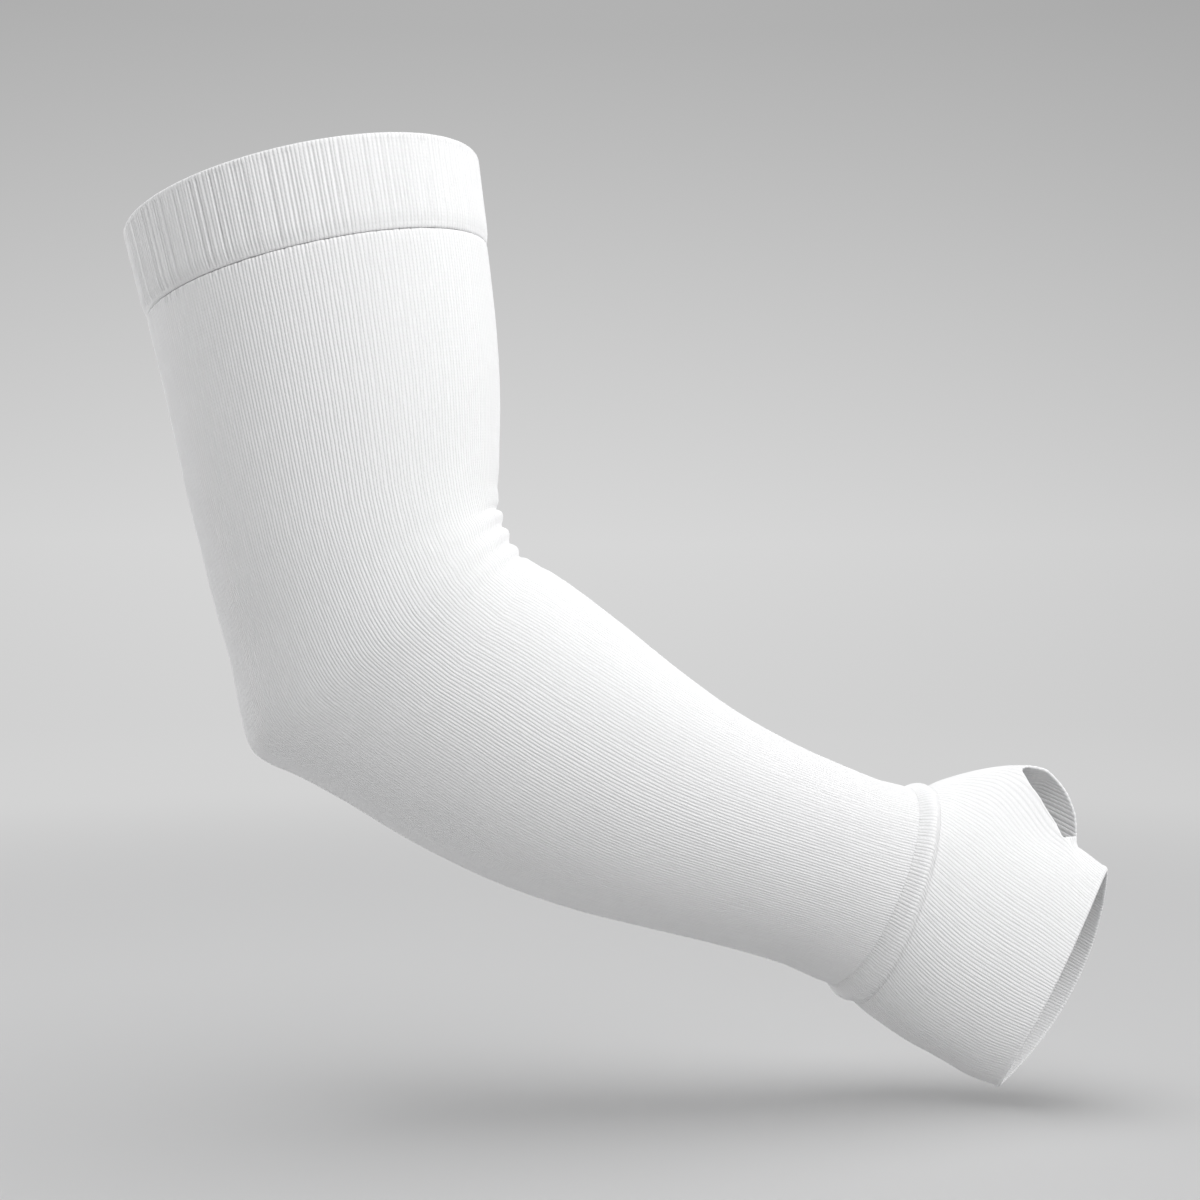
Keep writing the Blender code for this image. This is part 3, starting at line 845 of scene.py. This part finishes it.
def stage_glow(nodes, height):
    """Colour of the backdrop's glow at a height above the floor."""
    top_height, _ = STAGE_GLOW[-1]
    glow = nodes.add("ShaderNodeValToRGB")
    nodes.feed(glow.inputs["Fac"], nodes.math("DIVIDE", height, top_height))
    stops = glow.color_ramp.elements
    for level, _ in STAGE_GLOW[1:-1]:
        stops.new(level / top_height)
    for stop, (_, brightness) in zip(stops, STAGE_GLOW):
        stop.color = grey(brightness)
    return glow.outputs["Color"]


def stage_material():
    """Matt pale grey by the object, which passes into an evenly lit backdrop further out."""
    material, shader, nodes = new_material("stage_grey", STAGE_SURFACE)
    places = nodes.add("ShaderNodeTexCoord")
    split = nodes.add("ShaderNodeSeparateXYZ")
    nodes.feed(split.inputs[0], places.outputs["Object"])
    x, y, z = split.outputs
    from_middle = (nodes.math("SUBTRACT", x, LIGHT_TARGET[0]), y)
    squares = [nodes.math("POWER", part, 2.0) for part in from_middle]
    far = nodes.add("ShaderNodeMapRange", interpolation_type="SMOOTHSTEP")
    nodes.feed(far.inputs["Value"], nodes.math("SQRT", nodes.math("ADD", *squares)))
    nodes.feed(far.inputs["From Min"], STAGE_FADE[0])
    nodes.feed(far.inputs["From Max"], STAGE_FADE[1])
    off_bright = nodes.math("POWER", nodes.math("SUBTRACT", x, BRIGHT_X), 2.0)
    dimming = nodes.math("MULTIPLY", nodes.math("MINIMUM", off_bright, SIDE_LIMIT), SIDE_DIMMING)
    spread = nodes.math("ADD", nodes.math("MULTIPLY", far.outputs[0], 1.0 - NEAR_GLOW), NEAR_GLOW)
    strength = nodes.math("MULTIPLY", spread, nodes.math("SUBTRACT", 1.0, dimming))
    nodes.feed(shader.inputs["Emission Color"], stage_glow(nodes, nodes.math("SUBTRACT", z, FLOOR_LEVEL)))
    nodes.feed(shader.inputs["Emission Strength"], strength)
    nodes.feed(shader.inputs["Base Color"], nodes.mix_colours(far.outputs[0], grey(STAGE_GREY), grey(0.0)))
    return material


def add_stage():
    """One turned sheet round the object: a flat floor, a cove and a wall."""
    low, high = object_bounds()
    middle_x, middle_y = (low[0] + high[0]) / 2, (low[1] + high[1]) / 2
    rings = np.linspace(FLOOR_INNER_RADIUS, FLOOR_RADIUS, FLOOR_RINGS)
    profile = [(0.0, FLOOR_LEVEL)] + [(radius, FLOOR_LEVEL) for radius in rings]
    for angle in np.linspace(0.0, math.pi / 2, COVE_STEPS + 1)[1:]:
        out, up = math.sin(angle), 1 - math.cos(angle)
        profile.append((FLOOR_RADIUS + COVE_RADIUS * out, FLOOR_LEVEL + COVE_RADIUS * up))
    profile.append((FLOOR_RADIUS + COVE_RADIUS, WALL_TOP))
    stage = bmesh.new()
    points = [stage.verts.new((radius + middle_x, middle_y, height)) for radius, height in profile]
    edges = [stage.edges.new(pair) for pair in zip(points, points[1:])]
    bmesh.ops.spin(
        stage,
        geom=points + edges,
        cent=(middle_x, middle_y, 0.0),
        axis=(0.0, 0.0, 1.0),
        angle=2 * math.pi,
        steps=STAGE_SIDES,
        use_merge=True,
    )
    bmesh.ops.remove_doubles(stage, verts=stage.verts, dist=MERGE_DISTANCE)
    mesh = bpy.data.meshes.new("stage")
    stage.to_mesh(mesh)
    stage.free()
    piece = add_piece("stage", mesh, stage_material())
    piece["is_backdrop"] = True
    return piece


def add_camera():
    data = bpy.data.cameras.new("camera")
    data.lens = CAMERA_LENS_MM
    camera = bpy.data.objects.new("camera", data)
    camera.location = CAMERA_PLACE
    camera.rotation_euler = (math.pi / 2, 0.0, 0.0)
    bpy.context.scene.collection.objects.link(camera)
    bpy.context.scene.camera = camera


def add_area_light(name, turn_deg, elevation_deg, distance, size, watts):
    """A round soft light that looks at the middle of the sleeve."""
    turn, elevation = math.radians(turn_deg), math.radians(elevation_deg)
    level = math.cos(elevation)
    towards = Vector((math.sin(turn) * level, -math.cos(turn) * level, math.sin(elevation)))
    data = bpy.data.lights.new(name, "AREA")
    data.shape = "DISK"
    data.size = size
    data.energy = watts
    light = bpy.data.objects.new(name, data)
    light.location = Vector(LIGHT_TARGET) + towards * distance
    light.rotation_euler = towards.to_track_quat("Z", "Y").to_euler()
    light.visible_camera = False
    bpy.context.scene.collection.objects.link(light)
    return light


def light_alone(name, rows, receivers):
    """Lights that reach those objects alone."""
    group = bpy.data.collections.new(name)
    for receiver in receivers:
        group.objects.link(receiver)
    for row in rows:
        light = add_area_light(**dict(zip(LIGHT_COLUMNS, row)))
        light.light_linking.receiver_collection = group


def add_lights(pieces, stage):
    """The key and the rims on the sleeve, the light over the stage, and pale surroundings."""
    light_alone("lit_sleeve", SLEEVE_LIGHTS, pieces)
    light_alone("lit_stage", STAGE_LIGHTS, (stage,))
    world = bpy.data.worlds.new("surroundings")
    world.use_nodes = True
    background = world.node_tree.nodes["Background"]
    background.inputs["Color"].default_value = WORLD_COLOUR
    background.inputs["Strength"].default_value = WORLD_STRENGTH
    bpy.context.scene.world = world
    bpy.context.scene.view_settings.view_transform = "Standard"


def section_perimeter(length):
    outline = section_outline(length, np.linspace(0.0, 2 * math.pi, ARC_SAMPLES + 1))
    return float(np.linalg.norm(np.diff(outline, axis=0), axis=1).sum())


def declare(piece, node, start, end):
    """Hides the solid that the cloth stands for and attaches the cloth to the root. It works out the girths
    along it, but does nothing with them.
    """
    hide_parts(node)
    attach(piece, "root")
    perimeters = [section_perimeter(length) for length in np.linspace(start, end, GIRTH_SAMPLES)]


def main():
    add_camera()
    stage = add_stage()
    knit = knit_material()
    band = upper_band(knit)
    body = sleeve_body(knit)
    welt = wrist_welt(knit)
    hand = hand_cover(knit)
    declare(band, "upper_band", 0.0, BAND_HEIGHT)
    declare(body, "sleeve_body", BAND_HEIGHT - BAND_LAP, WRIST_AT)
    declare(welt, "wrist_welt", WRIST_AT - WELT_HALF, WRIST_AT + WELT_HALF)
    declare(hand, "hand_cover", WRIST_AT, HEM_AT)
    add_lights((band, body, welt, hand), stage)


main()
